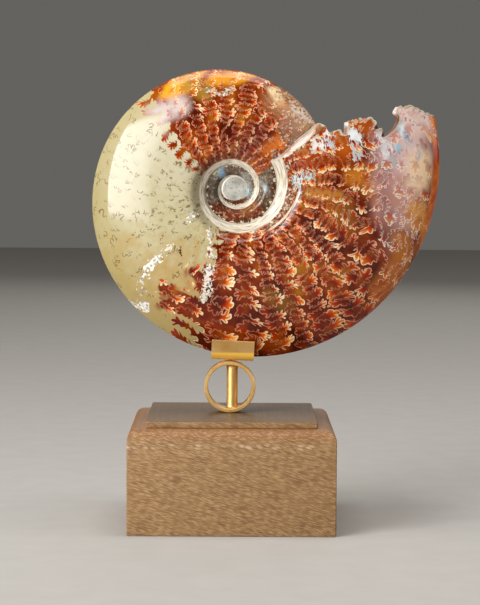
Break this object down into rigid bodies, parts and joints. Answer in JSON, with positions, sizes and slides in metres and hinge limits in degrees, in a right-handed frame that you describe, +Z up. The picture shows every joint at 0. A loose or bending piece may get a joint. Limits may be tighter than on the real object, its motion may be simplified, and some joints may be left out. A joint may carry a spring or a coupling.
{
  "type": "cleoniceras ammonite on a stand",
  "caption": "Polished coiled ammonite fossil with a broken leafy mouth, standing on edge in a brass saddle on a ring and a stepped oak block.",
  "frame": {"origin": "centre of the wooden block's flat underside", "axes": "+Z up, -Y towards the viewer of the fossil's show side, +X towards its broken mouth"},
  "size_m": [0.1304, 0.076, 0.1698],
  "materials": {
    "polished_fossil": "polished",
    "stand_brass": "satin",
    "base_oak": "oiled"
  },
  "bodies": {
    "root": {"ammonite": "polished_fossil", "saddle": "stand_brass", "ring": "stand_brass", "post": "stand_brass", "board": "base_oak", "block": "base_oak"}
  },
  "joints": []
}
